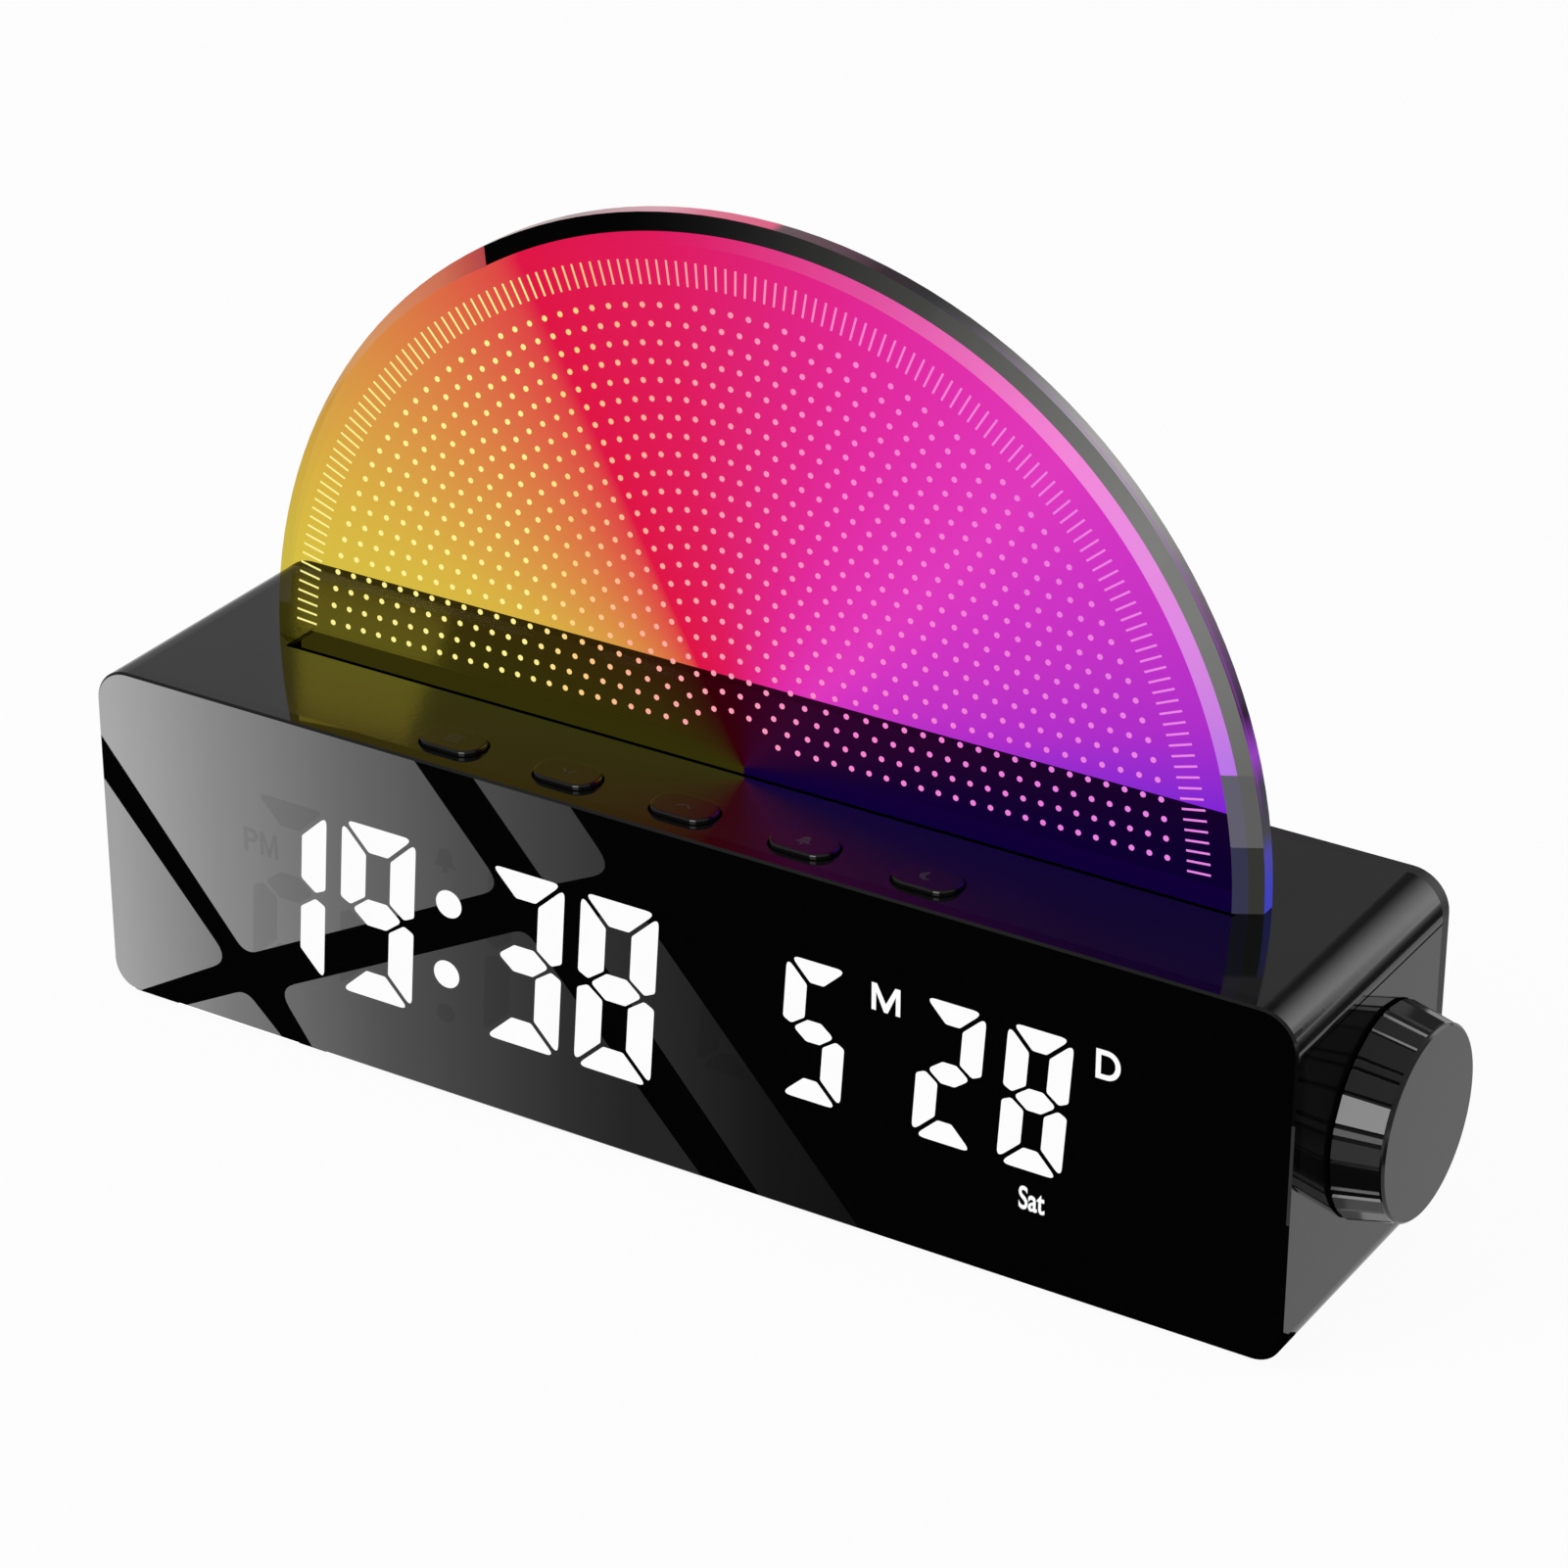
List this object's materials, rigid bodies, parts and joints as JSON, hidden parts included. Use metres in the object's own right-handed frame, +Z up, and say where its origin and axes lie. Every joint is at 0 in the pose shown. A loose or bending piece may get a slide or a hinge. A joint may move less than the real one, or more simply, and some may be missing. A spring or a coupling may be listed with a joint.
{
  "type": "sunrise alarm clock",
  "caption": "Sunrise alarm clock: a low black box with a display front, top buttons, a side knob and an upright tinted half disc lit from below",
  "frame": {"origin": "Centre of the overall box, on the surface that the clock stands on", "axes": "+X to the right along the front, +Y to the rear, +Z up; the display faces -Y"},
  "size_m": [0.2078, 0.0472, 0.1389],
  "materials": {
    "mirror_black": "mirror polish",
    "gloss_black": "high gloss",
    "satin_black": "fine satin",
    "button_black": "gloss",
    "knob_grey": "semi gloss",
    "tinted_acrylic": "clear, tinted from yellow to violet",
    "rubber_black": "matt",
    "inner_white": "matt",
    "diffuser": "translucent",
    "led": "clear",
    "board_green": "solder mask",
    "part_black": "moulded",
    "plunger_white": "moulded",
    "steel": "plated",
    "speaker_metal": "satin",
    "cone_paper": "pressed",
    "capacitor_can": "sleeved",
    "flat_lead": "ribbon"
  },
  "bodies": {
    "clock_body": {"base_tub": "gloss_black", "board_chips": "part_black", "board_screws": "steel", "button_board": "board_green", "button_board_screws": "steel", "button_lead": "flat_lead", "capacitors": "capacitor_can", "coin_cell": "steel", "coin_cell_holder": "part_black", "digit_segments": "diffuser", "display_board": "board_green", "display_lead": "flat_lead", "display_reflector": "inner_white", "display_screws": "steel", "encoder_board": "board_green", "encoder_body": "steel", "encoder_lead": "flat_lead", "encoder_nut": "steel", "encoder_washer": "steel", "foot_pads": "rubber_black", "front_panel": "mirror_black", "holder_screws": "steel", "light_plate": "tinted_acrylic", "main_board": "board_green", "plate_holder": "inner_white", "rear_cover": "satin_black", "rear_screws": "steel", "segment_leds": "led", "speaker_cone": "cone_paper", "speaker_frame": "speaker_metal", "speaker_gasket": "rubber_black", "speaker_lead": "flat_lead", "speaker_magnet": "speaker_metal", "speaker_screws": "steel", "speaker_surround": "rubber_black", "strip_board": "board_green", "strip_lead": "flat_lead", "strip_leds": "led", "tact_switches": "part_black", "top_cover": "gloss_black", "usb_socket": "steel", "usb_tongue": "part_black"},
    "mode_key": {"mode_button": "button_black", "mode_plunger": "plunger_white"},
    "down_key": {"down_button": "button_black", "down_plunger": "plunger_white"},
    "up_key": {"up_button": "button_black", "up_plunger": "plunger_white"},
    "alarm_key": {"alarm_button": "button_black", "alarm_plunger": "plunger_white"},
    "snooze_key": {"snooze_button": "button_black", "snooze_plunger": "plunger_white"},
    "knob": {"control_knob": "knob_grey", "encoder_shaft": "steel"}
  },
  "joints": [
    {"name": "mode_press", "type": "slide", "parent": "clock_body", "child": "mode_key", "axis": [0, 0, -1], "range_m": [0, 0.0005], "stiffness_N_per_m": 800},
    {"name": "down_press", "type": "slide", "parent": "clock_body", "child": "down_key", "axis": [0, 0, -1], "range_m": [0, 0.0005], "stiffness_N_per_m": 800},
    {"name": "up_press", "type": "slide", "parent": "clock_body", "child": "up_key", "axis": [0, 0, -1], "range_m": [0, 0.0005], "stiffness_N_per_m": 800},
    {"name": "alarm_press", "type": "slide", "parent": "clock_body", "child": "alarm_key", "axis": [0, 0, -1], "range_m": [0, 0.0005], "stiffness_N_per_m": 800},
    {"name": "snooze_press", "type": "slide", "parent": "clock_body", "child": "snooze_key", "axis": [0, 0, -1], "range_m": [0, 0.0005], "stiffness_N_per_m": 800},
    {"name": "knob_turn", "type": "hinge", "parent": "clock_body", "child": "knob", "pos_m": [0.1039, 0.0031, 0.0288], "axis": [1, 0, 0], "continuous": true}
  ]
}
